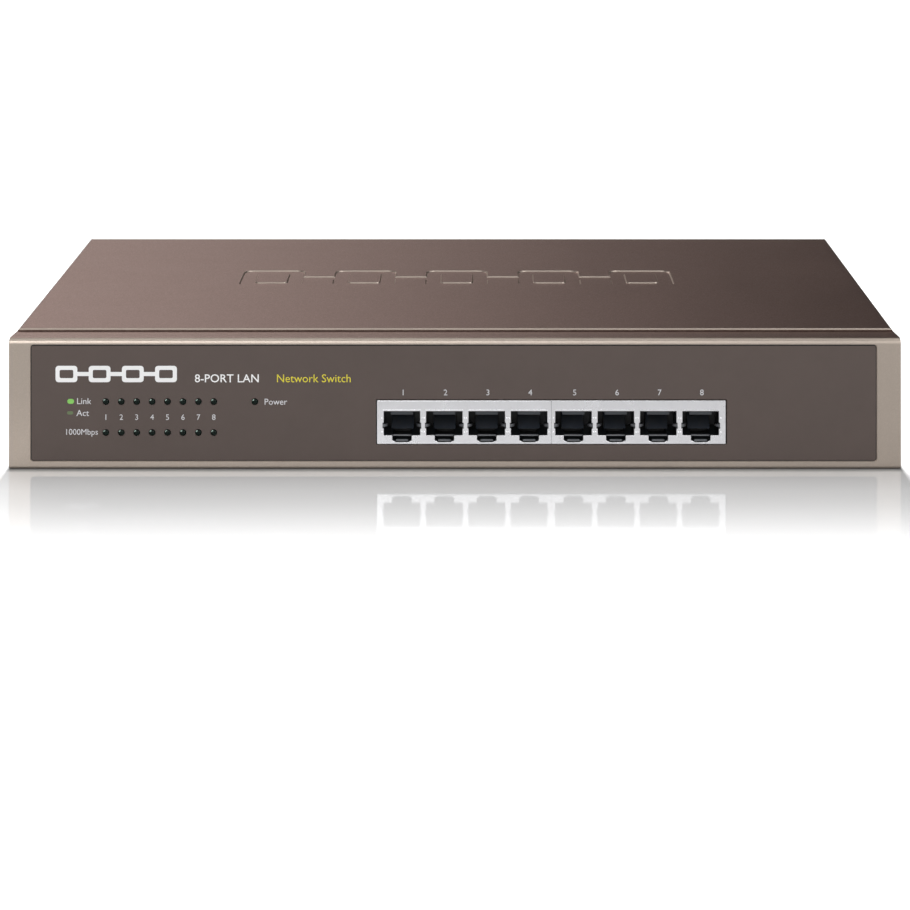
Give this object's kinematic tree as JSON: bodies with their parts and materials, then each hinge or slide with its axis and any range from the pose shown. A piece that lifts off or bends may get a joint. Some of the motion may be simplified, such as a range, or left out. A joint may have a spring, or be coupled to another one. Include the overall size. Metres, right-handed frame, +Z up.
{
  "type": "desktop network switch",
  "caption": "Desktop network switch in a folded steel case with a front row of modular jacks, indicator lights and a rear mains inlet.",
  "frame": {"origin": "on the table, under the middle of the case's flat base", "axes": "+X to the right seen from the front, -Y out of the front panel with the jacks, +Y out of the rear panel, +Z up"},
  "size_m": [0.2962, 0.1828, 0.044],
  "materials": {
    "cover_paint": "metallic taupe paint, satin",
    "bezel_paint": "lighter metallic taupe paint, satin",
    "tray_paint": "metallic taupe paint, satin",
    "overlay_print": "dark printed film, fine matt",
    "tinned_steel": "bright tin plate",
    "black_plastic": "moulded black",
    "contact_gold": "gold plate",
    "light_pipe_clear": "clear moulding with a green cast",
    "board_green": "solder mask",
    "board_tan": "paper laminate",
    "component_black": "moulded component bodies",
    "heat_sink_metal": "extruded",
    "bright_steel": "nickel plate",
    "can_sleeve": "shrink sleeve",
    "ferrite": "ferrite and tape",
    "white_nylon": "nylon",
    "insulating_film": "translucent film",
    "fuse_glass": "glass tube with metal caps",
    "wire_brown": "insulation",
    "wire_blue": "insulation",
    "wire_green": "insulation",
    "wire_red": "insulation"
  },
  "bodies": {
    "case": {"front_bezel": "bezel_paint", "chassis_tray": "tray_paint", "front_overlay": "overlay_print", "jack_shield_left": "tinned_steel", "jack_shield_right": "tinned_steel", "jack_housing_left": "black_plastic", "jack_housing_right": "black_plastic", "mains_inlet": "black_plastic", "light_pipe_bank": "light_pipe_clear", "power_light_pipe": "light_pipe_clear", "main_board": "board_green", "supply_board": "board_tan", "switch_chip": "component_black", "line_transformer_1": "component_black", "line_transformer_2": "component_black", "line_transformer_3": "component_black", "line_transformer_4": "component_black", "chip_heat_sink": "heat_sink_metal", "supply_heat_sink": "heat_sink_metal", "clock_crystal": "bright_steel", "inlet_live_pin": "bright_steel", "inlet_neutral_pin": "bright_steel", "inlet_earth_pin": "bright_steel", "inlet_screw_left": "bright_steel", "inlet_screw_right": "bright_steel", "board_screw_1": "bright_steel", "board_screw_2": "bright_steel", "board_screw_3": "bright_steel", "board_screw_4": "bright_steel", "supply_screw_1": "bright_steel", "supply_screw_2": "bright_steel", "supply_screw_3": "bright_steel", "board_capacitor": "can_sleeve", "bulk_capacitor": "can_sleeve", "output_capacitor": "can_sleeve", "line_choke": "ferrite", "power_transformer": "ferrite", "dc_header": "white_nylon", "insulating_sheet": "insulating_film", "mains_fuse": "fuse_glass", "live_wire": "wire_brown", "neutral_wire": "wire_blue", "earth_wire": "wire_green", "dc_cable": "wire_red"},
    "cover": {"top_cover": "cover_paint"},
    "screw_left_front": {"cover_screw_left_front": "bright_steel"},
    "screw_left_rear": {"cover_screw_left_rear": "bright_steel"},
    "screw_right_front": {"cover_screw_right_front": "bright_steel"},
    "screw_right_rear": {"cover_screw_right_rear": "bright_steel"},
    "screw_back": {"cover_screw_back": "bright_steel"},
    "earth_clamp": {"earth_washer": "bright_steel"},
    "earth_bolt": {"earth_screw": "bright_steel"},
    "springs_1": {"contact_springs_1": "contact_gold"},
    "springs_2": {"contact_springs_2": "contact_gold"},
    "springs_3": {"contact_springs_3": "contact_gold"},
    "springs_4": {"contact_springs_4": "contact_gold"},
    "springs_5": {"contact_springs_5": "contact_gold"},
    "springs_6": {"contact_springs_6": "contact_gold"},
    "springs_7": {"contact_springs_7": "contact_gold"},
    "springs_8": {"contact_springs_8": "contact_gold"}
  },
  "joints": [
    {"name": "cover_lift", "type": "slide", "parent": "case", "child": "cover", "axis": [0, 0, 1], "range_m": [0, 0.075]},
    {"name": "cover_screw_left_front_out", "type": "slide", "parent": "case", "child": "screw_left_front", "axis": [-1, 0, 0], "range_m": [0, 0.006]},
    {"name": "cover_screw_left_rear_out", "type": "slide", "parent": "case", "child": "screw_left_rear", "axis": [-1, 0, 0], "range_m": [0, 0.006]},
    {"name": "cover_screw_right_front_out", "type": "slide", "parent": "case", "child": "screw_right_front", "axis": [1, 0, 0], "range_m": [0, 0.006]},
    {"name": "cover_screw_right_rear_out", "type": "slide", "parent": "case", "child": "screw_right_rear", "axis": [1, 0, 0], "range_m": [0, 0.006]},
    {"name": "cover_screw_back_out", "type": "slide", "parent": "case", "child": "screw_back", "axis": [0, 1, 0], "range_m": [0, 0.006]},
    {"name": "earth_screw_out", "type": "slide", "parent": "case", "child": "earth_clamp", "axis": [0, 1, 0], "range_m": [0, 0.0035]},
    {"name": "earth_screw_turn", "type": "hinge", "parent": "earth_clamp", "child": "earth_bolt", "pos_m": [-0.048, 0.0895, 0.016], "axis": [0, 1, 0], "range_deg": [0, 1805]},
    {"name": "port_1_contacts", "type": "hinge", "parent": "case", "child": "springs_1", "pos_m": [-0.01745, -0.086, 0.02025], "axis": [1, 0, 0], "range_deg": [0, 12]},
    {"name": "port_2_contacts", "type": "hinge", "parent": "case", "child": "springs_2", "pos_m": [-0.00348, -0.086, 0.02025], "axis": [1, 0, 0], "range_deg": [0, 12]},
    {"name": "port_3_contacts", "type": "hinge", "parent": "case", "child": "springs_3", "pos_m": [0.01048, -0.086, 0.02025], "axis": [1, 0, 0], "range_deg": [0, 12]},
    {"name": "port_4_contacts", "type": "hinge", "parent": "case", "child": "springs_4", "pos_m": [0.02446, -0.086, 0.02025], "axis": [1, 0, 0], "range_deg": [0, 12]},
    {"name": "port_5_contacts", "type": "hinge", "parent": "case", "child": "springs_5", "pos_m": [0.03907, -0.086, 0.02025], "axis": [1, 0, 0], "range_deg": [0, 12]},
    {"name": "port_6_contacts", "type": "hinge", "parent": "case", "child": "springs_6", "pos_m": [0.05305, -0.086, 0.02025], "axis": [1, 0, 0], "range_deg": [0, 12]},
    {"name": "port_7_contacts", "type": "hinge", "parent": "case", "child": "springs_7", "pos_m": [0.06702, -0.086, 0.02025], "axis": [1, 0, 0], "range_deg": [0, 12]},
    {"name": "port_8_contacts", "type": "hinge", "parent": "case", "child": "springs_8", "pos_m": [0.08099, -0.086, 0.02025], "axis": [1, 0, 0], "range_deg": [0, 12]}
  ],
  "couplings": [
    {"joint": "earth_screw_turn", "follows": "earth_screw_out", "rad_per_m": 8976}
  ]
}
